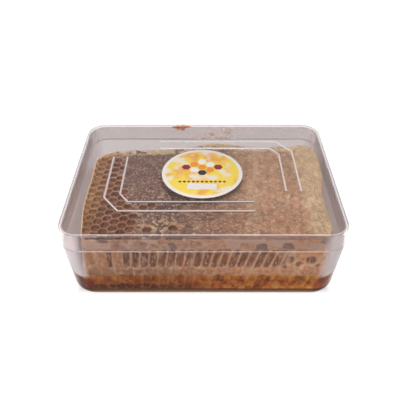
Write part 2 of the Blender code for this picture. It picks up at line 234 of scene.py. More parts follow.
# The comb's top
WARMER_CAPPINGS = (-20 * MM, 35 * MM)
PLAINER_CURLS = (5 * MM, -40 * MM)
GOLDEN_EDGE = (-58 * MM, -65 * MM)
WETTED_FRONT = (-22 * MM, -38 * MM)
# The comb's sides
LIGHTER_SIDES = (-30 * MM, 30 * MM)
ABOVE_HONEY = (22 * MM, 20 * MM)
UNDER_SKIRT = (35 * MM, 37.5 * MM)
PATCH = 7 * MM
DARK_FOOT = (3.6 * MM, 2.2 * MM)
DARK_FOOT_ENDS = (-20 * MM, 12 * MM)
LIGHTER_FOOT = (9 * MM, 4 * MM)
SOAKED_FOOT = (16 * MM, 14.6 * MM)
GOLDEN_LUMPS = ((0.36, "94571f"), (0.48, "dba956"), (0.62, "fbe6b4"))

# Name, place, size in metres and power in watts of the soft lights
SOFT_LIGHTS = (
    ("overhead", (0, 0.05, 0.75), 0.6, 1.7),
    ("bulb", (0.05, -0.2, 0.6), 0.05, 0.35),
    ("front", (-0.3, -0.55, 0.3), 0.3, 1.8),
)


def linear(colour):
    """An sRGB hex colour as linear red, green, blue and alpha."""
    channels = [int(colour[at : at + 2], 16) / 255 for at in (0, 2, 4)]
    return (*[c / 12.92 if c <= 0.04045 else ((c + 0.055) / 1.055) ** 2.4 for c in channels], 1.0)


def length(name, description, default):
    return FloatProperty(
        name=name, description=description, default=default, unit="LENGTH", subtype="DISTANCE", min=0
    )


def amount(name, description, default):
    return FloatProperty(name=name, description=description, default=default, min=0)


def colour(name, description, default):
    return FloatVectorProperty(
        name=name, description=description, default=linear(default), size=4, subtype="COLOR", min=0, max=1
    )


class BoxSettings(bpy.types.PropertyGroup):
    wall: length("Wall", "Thickness of the moulded plastic", 0.9 * MM)
    gap: length("Gap", "Play between lid and tray", 0.3 * MM)
    corner: length("Corner", "Radius of the lid's corners, seen from above", 11.5 * MM)
    edge: length("Edge", "Radius of the edge round the lid's top", 1.6 * MM)
    ridge_height: length("Ridge height", "How far the brackets stand up on the lid", 0.7 * MM)
    ridge_width: length("Ridge width", "Width of the brackets", 1.2 * MM)
    # Painted highlight: the brackets' tops and the lid's front edge take this pale plastic
    highlight_matt: colour("Highlight plastic", "Colour of the brackets where light catches them", "e9dcde")
    lid_tint: colour("Lid tint", "What is left of white light behind one wall of the lid", "f6f2f1")
    tray_tint: colour("Tray tint", "What is left of white light behind one wall of the tray", "c8c1c1")
    film: colour("Film", "Honey that clings to the front corners of the tray's foot", "a0693c")


class LabelSettings(bpy.types.PropertyGroup):
    thickness: length("Thickness", "Paper with its glue and varnish", 0.3 * MM)
    paper: colour("Paper", "Unprinted rim", "e9e2dc")
    field: colour("Field", "Main field of colour", "f0d152")
    warm: colour("Warm field", "Patches that warm the main field", "e88f35")
    dark: colour("Dark ink", "Outlines and small shapes", "3a2a24")
    red: colour("Red ink", "Small shapes", "8c2430")


class CombSettings(bpy.types.PropertyGroup):
    pitch: length("Cell pitch", "From one flat side of a cell to the other", 5.3 * MM)
    rim: length("Rim", "Width of the wall between two open cells", 0.26 * MM)
    depth: length("Open depth", "How far down an open cell is empty", 2.2 * MM)
    capping: colour("Cappings", "Wet wax over honey", "725146")
    capping_warm: colour("Warm cappings", "Cappings towards the right", "b88f6e")
    # Partly painted glints: the curls on the cappings take this colour
    pale_wax_and_glints: colour("Bright wax and glints", "Edges and crumbs of wax that catch the light", "e2c3ad")
    hollow: colour("Hollow", "Inside an open cell", "8a5f49")
    rims: colour("Rims", "Upper edges of the open cells", "cfa27c")
    fresh: colour("Fresh wax", "Pale wax at the right end and along the back", "cfb995")
    ring: colour("Cut rings", "Rims of wax on the cut sides", "ecd2ae")
    cut: colour("Cut walls", "Wax walls on the cut sides", "d39a66")
    filled: colour("Filled tubes", "Honey in the cut cells", "8f5427")


class HoneySettings(bpy.types.PropertyGroup):
    level: length("Level", "Height of the pool's surface", HONEY_HIGH.z)
    colour: colour("Colour", "What the honey lets through", "ecc44e")
    smear: colour("Smear", "What a thick smear of it lets through", "efb25e")
    # Painted glints: the colour of the bubble rims and beads, drawn bright
    glint_white: colour("Foam", "Bubbles and bright beads on the front", "f3ece4")
    density: amount("Density", "How strongly it absorbs, per metre", 400)
    smear_density: amount("Smear density", "How strongly the smear absorbs, per metre", 5000)


class StageSettings(bpy.types.PropertyGroup):
    camera: FloatVectorProperty(
        name="Camera",
        description="Where the camera stands",
        default=(0, -0.2410, 0.2264),
        subtype="TRANSLATION",
    )
    pitch: FloatProperty(
        name="Pitch",
        description="Camera tilt up from straight down",
        default=math.radians(50.4),
        subtype="ANGLE",
    )
    lens: FloatProperty(name="Lens", description="Focal length in millimetres", default=44.78, min=1)
    shift: FloatProperty(name="Shift", description="Sideways shift of the frame", default=-0.00875)
    sky: amount("Sky", "Brightness of the white surroundings", 0.5)
    floor: colour("Floor", "Colour of the floor", "aaaaaa")


def node(tree, kind, inputs=None, stops=(), **settings):
    """Adds a node. inputs holds values, or nodes and sockets to link from, and stops colours a ramp."""
    made = tree.nodes.new(kind)
    for name, value in settings.items():
        setattr(made, name, value)
    for place, (position, tint) in enumerate(stops):
        elements = made.color_ramp.elements
        stop = elements[place] if place < len(elements) else elements.new(position)
        stop.position = position
        stop.color = linear(tint)
    for name, value in (inputs or {}).items():
        if isinstance(value, bpy.types.Node):
            value = value.outputs[0]
        if isinstance(value, bpy.types.NodeSocket):
            tree.links.new(value, made.inputs[name])
        else:
            made.inputs[name].default_value = value
    return made


def own_place(tree):
    """Where a point lies on its piece, in metres."""
    return node(tree, "ShaderNodeTexCoord").outputs["Object"]


def marked(tree, name):
    """A mark that the mesh carries at its corners, such as how hollow it is."""
    return node(tree, "ShaderNodeAttribute", attribute_name=name).outputs["Fac"]


def lumpy(tree, place, size, detail, **more):
    """Soft noise with lumps of this size. A value W draws it anew."""
    inputs = {"Vector": place, "Scale": 1 / size, "Detail": detail, **more}
    return node(tree, "ShaderNodeTexNoise", inputs, noise_dimensions="4D" if "W" in more else "3D")


def seams(tree, place, size, randomness=1.0):
    """How far a point is from the seams between patches of this size."""
    inputs = {"Vector": place, "Scale": 1 / size, "Randomness": randomness}
    return node(tree, "ShaderNodeTexVoronoi", inputs, feature="DISTANCE_TO_EDGE")


def fade(tree, value, span, low=0.0, high=1.0):
    """Turns a value that runs along a span into one from low to high, and holds it beyond."""
    return node(tree, "ShaderNodeMapRange", {0: value, 1: span[0], 2: span[1], 3: low, 4: high})


def maths(tree, operation, first, second=0.0):
    return node(tree, "ShaderNodeMath", {0: first, 1: second}, operation=operation)


def times(tree, first, second):
    return maths(tree, "MULTIPLY", first, second)


def blend(tree, share, first, second):
    """Mixes two colours by a share."""
    return node(tree, "ShaderNodeMix", {0: share, 6: first, 7: second}, data_type="RGBA").outputs[2]


def shaded(tree, tint, factor):
    """A colour made lighter or darker by a factor."""
    return node(tree, "ShaderNodeVectorMath", {0: tint, "Scale": factor}, operation="SCALE").outputs[0]


def toned(tree, tint, tone):
    """A colour with each of its channels made lighter or darker."""
    return node(tree, "ShaderNodeVectorMath", {0: tint, 1: tone}, operation="MULTIPLY").outputs[0]


def bumps(tree, height, strength, distance):
    return node(tree, "ShaderNodeBump", {"Height": height, "Strength": strength, "Distance": distance})


def surface_of(tree, tint, rough, more):
    """A Principled surface, with more of its inputs by name."""
    return node(tree, "ShaderNodeBsdfPrincipled", {"Base Color": tint, "Roughness": rough, **more})


def clear_to_lamps(tree, surface, tint):
    """Lets light from lamps and sky pass straight through to what is behind a clear surface."""
    shade = node(tree, "ShaderNodeBsdfTransparent", {"Color": linear(tint)})
    ray = node(tree, "ShaderNodeLightPath").outputs["Is Shadow Ray"]
    return node(tree, "ShaderNodeMixShader", {0: ray, 1: surface, 2: shade})


def new_material(name):
    made = bpy.data.materials.new(name)
    made.use_nodes = True
    made.node_tree.nodes.clear()
    return made, made.node_tree


def ended(made, surface, **more):
    """Gives a material its surface, and what fills it."""
    node(made.node_tree, "ShaderNodeOutputMaterial", {"Surface": surface, **more})
    return made


def clear_polystyrene(name, tint, bending, end_shade=0.0, film=None):
    """Crystal polystyrene, injection moulded: glass-like, faintly pink-grey, with slow waves from its flow.
    Painted shade dulls the box's ends by the fourth argument's share, and film is the honey that clings to
    its foot."""
    made, tree = new_material(name)
    place = own_place(tree)
    across = node(tree, "ShaderNodeSeparateXYZ", {0: place})
    height = across.outputs["Z"]
    beside = maths(tree, "ABSOLUTE", across)
    rough = fade(tree, lumpy(tree, place, 2.5 * MM, 4), (0.5, 0.8), 0.015, 0.05)
    bump = bumps(tree, lumpy(tree, place, 14 * MM, 2), 0.06, 0.5 * MM)
    if film:
        coated = times(tree, fade(tree, height, FILM_TOP), fade(tree, beside, FILM_ENDS, 0.2, 1.0))
        tint = blend(tree, coated, tint, film)
    surface = surface_of(tree, tint, rough, {"IOR": bending, "Transmission Weight": 1.0, "Normal": bump})
    # Painted shade: a rough mauve-grey layer over the box's ends and front corners, none of it at the foot
    if end_shade:
        painted_light = {"IOR": 1.2, "Transmission Weight": 0.3, "Normal": bump}
        shade_layer = surface_of(tree, linear("dcd4d6"), 0.4, painted_light)
        at_corner = fade(tree, beside, SHADED_CORNERS, 0.0, end_shade * CORNER_SHADE)
        at_corner = times(tree, fade(tree, across.outputs["Y"], SHADED_FRONT), at_corner)
        share = maths(tree, "MAXIMUM", fade(tree, beside, SHADED_ENDS, 0.0, end_shade), at_corner)
        share = times(tree, share, fade(tree, height, SHADE_FOOT))
        surface = node(tree, "ShaderNodeMixShader", {0: share, 1: surface, 2: shade_layer})
    return ended(made, clear_to_lamps(tree, surface, "f6f3f2"))


def painted_highlight_plastic(name, tint):
    """Pale, rough, faintly translucent plastic that stands for painted highlights: the tops of the brackets,
    the lid's front edge, the bubble rims and the comb's bright drops. It glows a little with the light from
    above.
    """
    made, tree = new_material(name)
    bump = bumps(tree, lumpy(tree, own_place(tree), 0.5 * MM, 2), 0.2, 0.05 * MM)
    highlight_matt = surface_of(tree, tint, 0.3, {"IOR": 1.3, "Transmission Weight": 0.35, "Normal": bump})
    return ended(made, highlight_matt)


def wet_wax(tree, tint, rough, bump, glow, depth, wet, sheen):
    """Beeswax under a film of honey. glow and depth are for the light in it, wet and sheen for the film."""
    inputs = {
        "IOR": 1.44,
        "Subsurface Weight": glow,
        "Subsurface Radius": (1.0, 0.5, 0.25),
        "Subsurface Scale": depth,
        "Coat Weight": wet,
        "Coat Roughness": sheen,
        "Normal": bump,
    }
    return surface_of(tree, tint, rough, inputs)


def capped_beeswax(settings):
    """Wet cappings and open cells: wax without shine under a film of honey, so small lights sit on a plain
    ground.
    Part of these small lights are painted glints in a pale wax colour.
    """
    made, tree = new_material("capped_beeswax")
    place = own_place(tree)
    across = node(tree, "ShaderNodeSeparateXYZ", {0: place})
    hollow = marked(tree, "hollow")

    ground = blend(tree, fade(tree, across, WARMER_CAPPINGS), settings.capping, settings.capping_warm)
    clouds = lumpy(tree, place, 5 * MM, 5, Roughness=0.65)
    ground = shaded(tree, ground, fade(tree, clouds, (0.4, 0.62), 0.74, 1.22))
    ground = shaded(tree, ground, fade(tree, marked(tree, "tone"), (0.0, 1.0), 0.86, 1.14))

    # Broken rings and curls of brighter wax, faint at the back left and plain in front: partly pale wax
    # edges, partly painted glints of the wet wax
    push = shaded(tree, lumpy(tree, place, 3 * MM, 2).outputs["Color"], 2.2 * MM)
    stirred = node(tree, "ShaderNodeVectorMath", {0: place, 1: push}, operation="ADD")
    line = fade(tree, seams(tree, stirred, 2.7 * MM), (0.02, 0.12), 1.0, 0.0)
    curls_and_glints = times(tree, line, fade(tree, lumpy(tree, place, 1.9 * MM, 3), (0.5, 0.56)))
    curls_and_glints = times(tree, curls_and_glints, maths(tree, "SUBTRACT", 1.0, hollow))
    to_front = fade(tree, across.outputs["Y"], PLAINER_CURLS, 0.6, 1.0)
    # Dark flecks where honey stands over the wax, and pale crumbs
    spots = lumpy(tree, place, 1.7 * MM, 2, W=5)
    ground = blend(tree, fade(tree, spots, (0.4, 0.28), 0.0, 0.55), ground, settings.hollow)
    crumbs = times(tree, fade(tree, spots, (0.64, 0.72), 0.0, 0.7), to_front)
    ground = blend(tree, crumbs, ground, settings.pale_wax_and_glints)
    ground = blend(tree, times(tree, curls_and_glints, to_front), ground, settings.pale_wax_and_glints)

    ground = blend(tree, hollow, ground, settings.hollow)
    ground = blend(tree, marked(tree, "rim"), ground, settings.rims)
    ground = blend(tree, fade(tree, across, GOLDEN_EDGE, 0.0, 0.5), ground, linear("bd935f"))
    # Honey stands over the front cappings, which makes them darker and warmer
    wetted = toned(tree, ground, (0.84, 0.76, 0.70))
    ground = blend(tree, fade(tree, across.outputs["Y"], WETTED_FRONT), ground, wetted)
    patchy = fade(tree, lumpy(tree, place, 2.2 * MM, 4), (0.3, 0.62), 0.45, 1.0)
    ground = blend(tree, times(tree, marked(tree, "fresh"), patchy), ground, settings.fresh)

    height = maths(tree, "ADD", lumpy(tree, place, 0.9 * MM, 3), curls_and_glints)
    bump = bumps(tree, height, 0.8, 0.45 * MM)
    rough = fade(tree, clouds, (0.3, 0.7), 0.5, 0.24)
    return ended(made, wet_wax(tree, ground, rough, bump, 0.06, 0.8 * MM, 0.35, 0.12))


def cut_beeswax(settings):
    """The knife's cut: pale wax walls round tubes of honey, streaked downwards and wet."""
    made, tree = new_material("cut_beeswax")
    place = own_place(tree)
    across = node(tree, "ShaderNodeSeparateXYZ", {0: place})
    height = across.outputs["Z"]
    hollow = marked(tree, "hollow")

    mottle = lumpy(tree, place, 2.5 * MM, 5, Roughness=0.6)
    stretched = node(tree, "ShaderNodeMapping", {"Vector": place, "Scale": (1, 1, 0.22)})
    streaks = lumpy(tree, stretched, 1.4 * MM, 3)
    shade = fade(tree, mottle, (0.4, 0.6), 0.66, 1.24)
    shade = times(tree, shade, fade(tree, marked(tree, "tone"), (0.0, 1.0), 0.82, 1.15))
    # Darker to the left, and more so just above the honey
    to_right = fade(tree, across, LIGHTER_SIDES)
    shade = times(tree, shade, fade(tree, to_right, (0.0, 1.0), 0.78, 1.26))
    on_left = maths(tree, "SUBTRACT", 1.0, to_right)
    wetter = times(tree, fade(tree, height, ABOVE_HONEY, 0.0, 0.25), on_left)
    shade = times(tree, shade, maths(tree, "SUBTRACT", 1.0, wetter))
    ground = shaded(tree, blend(tree, hollow, settings.cut, settings.filled), shade)
    ground = blend(tree, fade(tree, streaks, (0.5, 0.7), 0.0, 0.6), ground, settings.pale_wax_and_glints)
    # Under the skirt the cappings of the upper layer show as patches, darker or pinker, with pale seams
    flat = node(tree, "ShaderNodeMapping", {"Vector": place, "Scale": (1, 0, 1.5)})
    under_skirt = fade(tree, height, UNDER_SKIRT)
    patches = node(tree, "ShaderNodeTexVoronoi", {"Vector": flat, "Scale": 1 / PATCH, "Randomness": 0.7})
    tones = node(tree, "ShaderNodeSeparateColor", {0: patches.outputs["Color"]})
    for channel, tint, span in (("Red", "7d4f3c", (0.62, 0.7)), ("Green", "dfc0ae", (0.66, 0.75))):
        chosen = times(tree, fade(tree, tones.outputs[channel], span, 0.0, 0.85), under_skirt)
        ground = blend(tree, chosen, ground, linear(tint))
    seam = fade(tree, seams(tree, flat, PATCH, 0.7), (0.02, 0.07), 0.6, 0.0)
    ground = blend(tree, times(tree, seam, under_skirt), ground, settings.ring)
    # Where the wax stands in honey it shows golden lumps, and red-brown near the foot
    lumps = lumpy(tree, place, 4.5 * MM, 4)
    gold = node(tree, "ShaderNodeValToRGB", {0: lumps}, GOLDEN_LUMPS)
    # Darker red-brown along the foot, strongest to the left
    ragged = maths(tree, "ADD", height, times(tree, lumps, -10 * MM))
    dark_foot = times(tree, fade(tree, ragged, DARK_FOOT, 0.0, 0.95), fade(tree, across, DARK_FOOT_ENDS, 1.0, 0.1))
    gold = blend(tree, dark_foot, gold, linear("52280f"))
    # Yellower to the right, and lighter at the foot there
    gold = toned(tree, gold, blend(tree, to_right, (0.88, 0.86, 0.86, 1.0), (1.35, 1.6, 1.5, 1.0)))
    lift = times(tree, fade(tree, height, LIGHTER_FOOT, 0.0, 0.5), to_right)
    gold = shaded(tree, gold, maths(tree, "ADD", lift, 1.0))
    ground = blend(tree, fade(tree, height, SOAKED_FOOT, 0.0, 0.85), ground, gold)
    ground = blend(tree, marked(tree, "fresh"), ground, settings.ring)

    bump = bumps(tree, maths(tree, "ADD", mottle, streaks), 0.5, 0.3 * MM)
    rough = fade(tree, hollow, (0.0, 1.0), 0.42, 0.16)
    return ended(made, wet_wax(tree, ground, rough, bump, 0.15, 1.5 * MM, 0.4, 0.08))


def smeared_wax():
    """Wax and honey smeared on the wall: pale, thin and uneven, thinning out to nothing at its outline."""
    made, tree = new_material("smeared_wax")
    place = own_place(tree)
    clouds = lumpy(tree, place, 2 * MM, 4)
    tint = node(tree, "ShaderNodeValToRGB", {0: clouds}, ((0.35, "fdecdc"), (0.65, "fffaf4")))
    rough = fade(tree, clouds, (0.3, 0.7), 0.45, 0.65)
    bump = bumps(tree, clouds, 0.3, 0.2 * MM)
    wax = surface_of(tree, tint, rough, {"IOR": 1.1, "Transmission Weight": 0.85, "Normal": bump})
    thick = fade(tree, lumpy(tree, place, 5 * MM, 5), (0.38, 0.62), 0.1, 1.0)
    clear = node(tree, "ShaderNodeBsdfTransparent")
    return ended(made, node(tree, "ShaderNodeMixShader", {0: thick, 1: clear, 2: wax}))


def liquid_honey(name, lets_through, density):
    """Clear liquid honey: amber where thin, red-brown where the light has far to go."""
    made, tree = new_material(name)
    clear = surface_of(tree, (1, 1, 1, 1), 0.03, {"IOR": 1.15, "Transmission Weight": 1.0})
    body = node(tree, "ShaderNodeVolumeAbsorption", {"Color": lets_through, "Density": density})
    return ended(made, clear_to_lamps(tree, clear, "fff4e0"), Volume=body)


def varnished_paper(settings):
    """Gloss-varnished label stock: white rim, printed wash of yellow that warms in soft patches."""
    made, tree = new_material("varnished_paper")
    place = own_place(tree)
    warm = fade(tree, lumpy(tree, place, 11 * MM, 2), (0.46, 0.66), 0.0, 0.85)
    wash = blend(tree, warm, settings.field, settings.warm)
    pale = fade(tree, lumpy(tree, place, 8 * MM, 1, W=3), (0.5, 0.62), 0.0, 0.75)
    wash = blend(tree, pale, wash, settings.paper)
    centre = ((LABEL_LOW + LABEL_HIGH) / 2).to_tuple()
    away = node(tree, "ShaderNodeVectorMath", {0: place, 1: centre}, operation="DISTANCE").outputs["Value"]
    printed = blend(tree, fade(tree, away, LABEL_RIM), wash, settings.paper)
    bump = bumps(tree, lumpy(tree, place, 0.6 * MM, 3), 0.15, 0.05 * MM)
    varnish = {"Coat Weight": 0.3, "Coat Roughness": 0.15, "Normal": bump}
    return ended(made, surface_of(tree, printed, 0.38, varnish))


def printing_ink(name, ink):
    """Offset ink under varnish, with the slight unevenness of the paper's tooth."""
    made, tree = new_material(name)
    uneven = fade(tree, lumpy(tree, own_place(tree), 0.8 * MM, 2), (0.3, 0.7), 0.9, 1.08)
    return ended(made, surface_of(tree, shaded(tree, tuple(ink)[:3], uneven), 0.36, {}))


def white_sweep(settings):
    """A pale paper sheet, lit from behind so that it glows evenly, with painted shadow where the box stands
    on it: its glow is dimmed there.
    """
    made, tree = new_material("white_sweep")
    place = own_place(tree)
    bump = bumps(tree, lumpy(tree, place, 1.5 * MM, 2), 0.05, 0.1 * MM)
    across = node(tree, "ShaderNodeSeparateXYZ", {0: place})
    beyond = []
    for axis, half in (("X", LID_HIGH.x), ("Y", LID_HIGH.y)):
        away = maths(tree, "ABSOLUTE", across.outputs[axis])
        beyond.append(maths(tree, "SUBTRACT", away, half))
    # Painted shadow: the glow falls from 0.76 to 0.1 between 3 and 10 mm inside the box's outline
    glow = fade(tree, maths(tree, "MAXIMUM", *beyond), BOX_SHADE, 0.1, 0.76)
    lit = {"Emission Color": (1, 1, 1, 1), "Emission Strength": glow, "Normal": bump}
    return ended(made, surface_of(tree, settings.floor, 0.9, lit))


def add_object(name, data):
    made = bpy.data.objects.new(name, data)
    bpy.context.scene.collection.objects.link(made)
    return made


def to_mesh(name, bm, materials=()):
    """Turns a bmesh into a mesh and frees it."""
    mesh = bpy.data.meshes.new(name)
    bm.to_mesh(mesh)
    bm.free()
    for material in materials:
        mesh.materials.append(material)
    return mesh


def finish_piece(name, bm, materials, cad_node=None):
    """Makes a bmesh a piece of the object, which rides on the frame and stands for a node of it."""
    mesh = to_mesh(name, bm, materials)
    mesh.shade_smooth()
    mesh.set_sharp_from_angle(angle=SHARP_ANGLE)
    made = add_object(name, mesh)
    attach(made, "root")
    if cad_node:
        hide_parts(cad_node)
    return made


def combine(target, bm, operation):
    """Applies an exact Boolean with a bmesh to a piece."""
    tool = add_object("tool", to_mesh("tool", bm))
    step = target.modifiers.new("combine", "BOOLEAN")
    step.operation = operation
    step.solver = "EXACT"
    step.object = tool
    graph = bpy.context.evaluated_depsgraph_get()
    made = bpy.data.meshes.new_from_object(target.evaluated_get(graph))
    target.modifiers.remove(step)
    target.data = made
    bpy.data.objects.remove(tool)
    made.shade_smooth()
    made.set_sharp_from_angle(angle=SHARP_ANGLE)


def raised_verts(grown):
    """The new points that an extrusion gave."""
    return [item for item in grown["geom"] if isinstance(item, bmesh.types.BMVert)]


def carry(levels, segments, where):
    """Carries a ring of points through levels and closes both ends. where(place, level) puts each point."""
    bm = bmesh.new()
    place = bm.verts.layers.int.new("place")
    ring = bmesh.ops.create_circle(bm, segments=segments, radius=1)["verts"]
    for index, vert in enumerate(ring):
        vert[place] = index
        vert.co = where(index, levels[0])
    edges = bm.edges[:]
    for level in levels[1:]:
        grown = bmesh.ops.extrude_edge_only(bm, edges=edges)
        for vert in raised_verts(grown):
            vert.co = where(vert[place], level)
        edges = [item for item in grown["geom"] if isinstance(item, bmesh.types.BMEdge) and item.is_boundary]
    bmesh.ops.holes_fill(bm, edges=[edge for edge in bm.edges if edge.is_boundary])
    bmesh.ops.recalc_face_normals(bm, faces=bm.faces)
    return bm


def heading(turn):
    """The direction at this angle from +X."""
    return Vector((math.cos(turn), math.sin(turn)))


def corner_middle(quarter, half_x, half_y, radius):
    """The middle of a rounded rectangle's corner arc. The quarters run anticlockwise from the back right."""
    side_x = 1 if quarter in (0, 3) else -1
    side_y = 1 if quarter in (0, 1) else -1
    return Vector((side_x * (half_x - radius), side_y * (half_y - radius)))


def box_ring(place, level):
    """A point of a rounded rectangle (half width, half depth, corner radius, height), with one more point
    close to each end of every arc, so that the flats shade flat."""
    half_x, half_y, radius, z = level
    quarter, step = divmod(place, CORNER_STEPS + 3)
    on_arc = min(max(step - 1, 0), CORNER_STEPS)
    out = heading(math.radians(90 * (quarter + on_arc / CORNER_STEPS)))
    ahead = Vector((-out.y, out.x))
    slide = (step - 1 - on_arc) * SUPPORT
    point = corner_middle(quarter, half_x, half_y, radius) + out * radius + ahead * slide
    return (point.x, point.y, z)


def grown_level(level, margin, z):
    """A level grown by a margin on all sides, at another height."""
    half_x, half_y, radius, _ = level
    return (half_x + margin, half_y + margin, radius + margin, z)


def between(first, second, share):
    """The level at this share of the way from one level to the next."""
    return tuple(a + (b - a) * share for a, b in zip(first, second))


def rounded_edge(level, radius, outward, from_turn, to_turn):
    """Levels round an edge. Turn 0 faces sideways and 90 faces up, and outward is -1 on an inner wall."""
    levels = []
    for step in range(EDGE_STEPS + 1):
        turn = math.radians(from_turn + (to_turn - from_turn) * step / EDGE_STEPS)
        shift = outward * radius * (math.cos(turn) - 1)
        levels.append(grown_level(level, shift, level[3] + radius * math.sin(turn)))
    return levels


def box_sizes(settings):
    """Half width and depth, height of the lid's flat top and of the skirt's foot, as the frame has them."""
    return LID_HIGH.x, LID_HIGH.y, LID_HIGH.z - settings.ridge_height, LID_LOW.z


def tray_wall(settings, inset):
    """The tray below its shoulder, from the foot up, on a wall this far inside the outer one."""
    half_x, half_y, _, skirt_foot = box_sizes(settings)
    shoulder = skirt_foot - settings.gap
    edge = TRAY_FOOT_EDGE - inset
    foot = TRAY_DRAFT * (shoulder - TRAY_FOOT_EDGE)
    turned = (half_x - inset - foot, half_y - inset - foot, TRAY_FOOT_CORNER - inset, inset + edge)
    levels = rounded_edge(turned, edge, 1, -90, 0)
    return [grown_level(levels[0], -SUPPORT, levels[0][3])] + levels


def honey_wall(settings, level, inset):
    """The tray's inner wall up to a height, moved in by an inset."""
    levels = [item for item in tray_wall(settings, inset) if item[3] < level]
    half_x, half_y, radius, z = levels[-1]
    widen = TRAY_DRAFT * (level - z)
    return levels + [(half_x + widen, half_y + widen, radius, level)]


def bracket_outline(bracket, width):
    """The two sides of a bracket round the lid's front-left corner, mitred at its bends."""
    across, along, chamfer_x, chamfer_y = bracket
    path = [
        Vector((-across, RIDGE_BACK_END)),
        Vector((-across, chamfer_y - along)),
        Vector((chamfer_x - across, -along)),
        Vector((RIDGE_RIGHT_END, -along)),
    ]
    sides = []
    for here, point in enumerate(path):
        before = (point - path[here - 1]).normalized() if here else None
        after = (path[here + 1] - point).normalized() if here + 1 < len(path) else None
        first, last = before or after, after or before
        side = (first.orthogonal() + last.orthogonal()).normalized()
        reach = side * (width / 2 / side.dot(first.orthogonal()))
        sides.append((point + reach, point - reach))
    return sides


def bracket_bar(bracket, settings, low, high, turned):
    """A bracket as a bar with its upper edges rounded. turned puts it round the opposite corner."""
    bm = bmesh.new()
    sign = -1 if turned else 1
    pairs = []
    for left, right in bracket_outline(bracket, settings.ridge_width):
        placed = [(point.x * sign, point.y * sign + BRACKETS_Y, low) for point in (left, right)]
        pairs.append([bm.verts.new(point) for point in placed])
    for (left, right), (next_left, next_right) in zip(pairs, pairs[1:]):
        bm.faces.new((left, right, next_right, next_left))
    raised = raised_verts(bmesh.ops.extrude_face_region(bm, geom=bm.faces[:]))
    bmesh.ops.translate(bm, verts=raised, vec=(0, 0, high - low))
    bmesh.ops.recalc_face_normals(bm, faces=bm.faces)
    rims = [edge for edge in bm.edges if all(v in raised for v in edge.verts) and edge.calc_face_angle() > 1]
    bmesh.ops.bevel(
        bm, geom=rims, offset=settings.ridge_width / 4, segments=3, profile=0.5, affect="EDGES", material=-1
    )
    bm.normal_update()
    # Faces that look up take the second material: a painted highlight along each bracket's top
    for face in bm.faces:
        face.material_index = 1 if face.normal.z > 0.4 else 0
    return bm


class BoxOperator(bpy.types.Operator):
    """Model the tray and the lid as clear moulded shells"""

    bl_idname = "comb_honey.box"
    bl_label = "Clear box"

    def execute(self, context):
        settings = context.scene.comb_honey_box
        tray_plastic = clear_polystyrene("tray_polystyrene", settings.tray_tint, 1.2, 0.35, settings.film)
        self.tray(settings, tray_plastic)
        clear = clear_polystyrene("lid_polystyrene", settings.lid_tint, 1.3)
        self.lid(settings, clear, painted_highlight_plastic("highlight_polystyrene", settings.highlight_matt))
        return {"FINISHED"}

    def tray(self, settings, plastic):
        half_x, half_y, top, skirt_foot = box_sizes(settings)
        shoulder = skirt_foot - settings.gap
        wall = settings.wall
        neck = wall + settings.gap
        neck_top = top - wall - NECK_HEADROOM
        outline = (half_x, half_y, settings.corner, shoulder)
        upper = grown_level(outline, 0, shoulder - MOULD_EDGE)
        outside = tray_wall(settings, 0)
        outside.append(between(outside[-1], upper, SUPPORT / shoulder))
        outside.append(between(outside[-1], upper, 1 - SUPPORT / shoulder))
        outside += rounded_edge(upper, MOULD_EDGE, 1, 0, 90)
        outside.append(grown_level(outline, -neck, shoulder))
        outside += rounded_edge(grown_level(outline, -neck, neck_top - wall / 2), wall / 2, 1, 0, 90)
        inner = neck + wall
        inside = rounded_edge(grown_level(outline, -inner, neck_top - wall / 2), wall / 2, -1, 90, 0)[1:]
        inside.append(grown_level(outline, -inner, shoulder - wall))
        inside.append(grown_level(outline, -wall, shoulder - 2 * wall))
        lower = tray_wall(settings, wall)[::-1]
        inside.append(between(inside[-1], lower[0], SUPPORT / shoulder))
        inside.append(between(inside[-2], lower[0], 1 - SUPPORT / shoulder))
        bm = carry(outside + inside + lower, BOX_SEGMENTS, box_ring)
        finish_piece("tray_shell", bm, [plastic], "tray")

    def lid(self, settings, plastic, highlight_matt):
        half_x, half_y, top, skirt_foot = box_sizes(settings)
        wall = settings.wall
        ceiling = top - wall
        edge = settings.edge
        outline = (half_x, half_y, settings.corner, top)
        under = rounded_edge(grown_level(outline, -wall, ceiling - wall), wall, 1, 90, 0)
        levels = [grown_level(under[0], -SUPPORT, ceiling)] + under
        levels.append(grown_level(outline, -wall, ceiling - wall - SUPPORT))
        levels.append(grown_level(outline, -wall, skirt_foot + MOULD_EDGE))
        levels.append(grown_level(levels[-1], MOULD_EDGE, skirt_foot))
        levels += rounded_edge(grown_level(outline, 0, skirt_foot + MOULD_EDGE), MOULD_EDGE, 1, -90, 0)
        levels.append(grown_level(outline, 0, top - edge - SUPPORT))
        levels += rounded_edge(grown_level(outline, 0, top - edge), edge, 1, 0, 90)
        levels.append(grown_level(levels[-1], -SUPPORT, top))
        shell = carry(levels, BOX_SEGMENTS, box_ring)
        # Faces of the rounded front top edge take the second material: a painted highlight along the lid's
        # front
        for face in shell.faces:
            painted_light = face.normal.y < -0.1 and 0.85 < face.normal.z < 0.95
            if painted_light and face.calc_center_median().z > top - edge:
                face.material_index = 1
        lid = finish_piece("lid_shell", shell, [plastic, highlight_matt], "lid")
        for bracket in (OUTER_BRACKET, INNER_BRACKET):
            for turned in (False, True):
                bar = bracket_bar(bracket, settings, ceiling + wall / 2, LID_HIGH.z, turned)
                combine(lid, bar, "UNION")


def back_reach(x):
    """How far the slab's back edge stands off y = COMB_BACK: it runs skew and swells near the middle."""
    bulge = COMB_BULGE * math.exp(-(((x - COMB_BULGE_X) / COMB_BULGE_REACH) ** 2))
    return COMB_BACK * COMB_BACK_SKEW * x / COMB_RIGHT + bulge


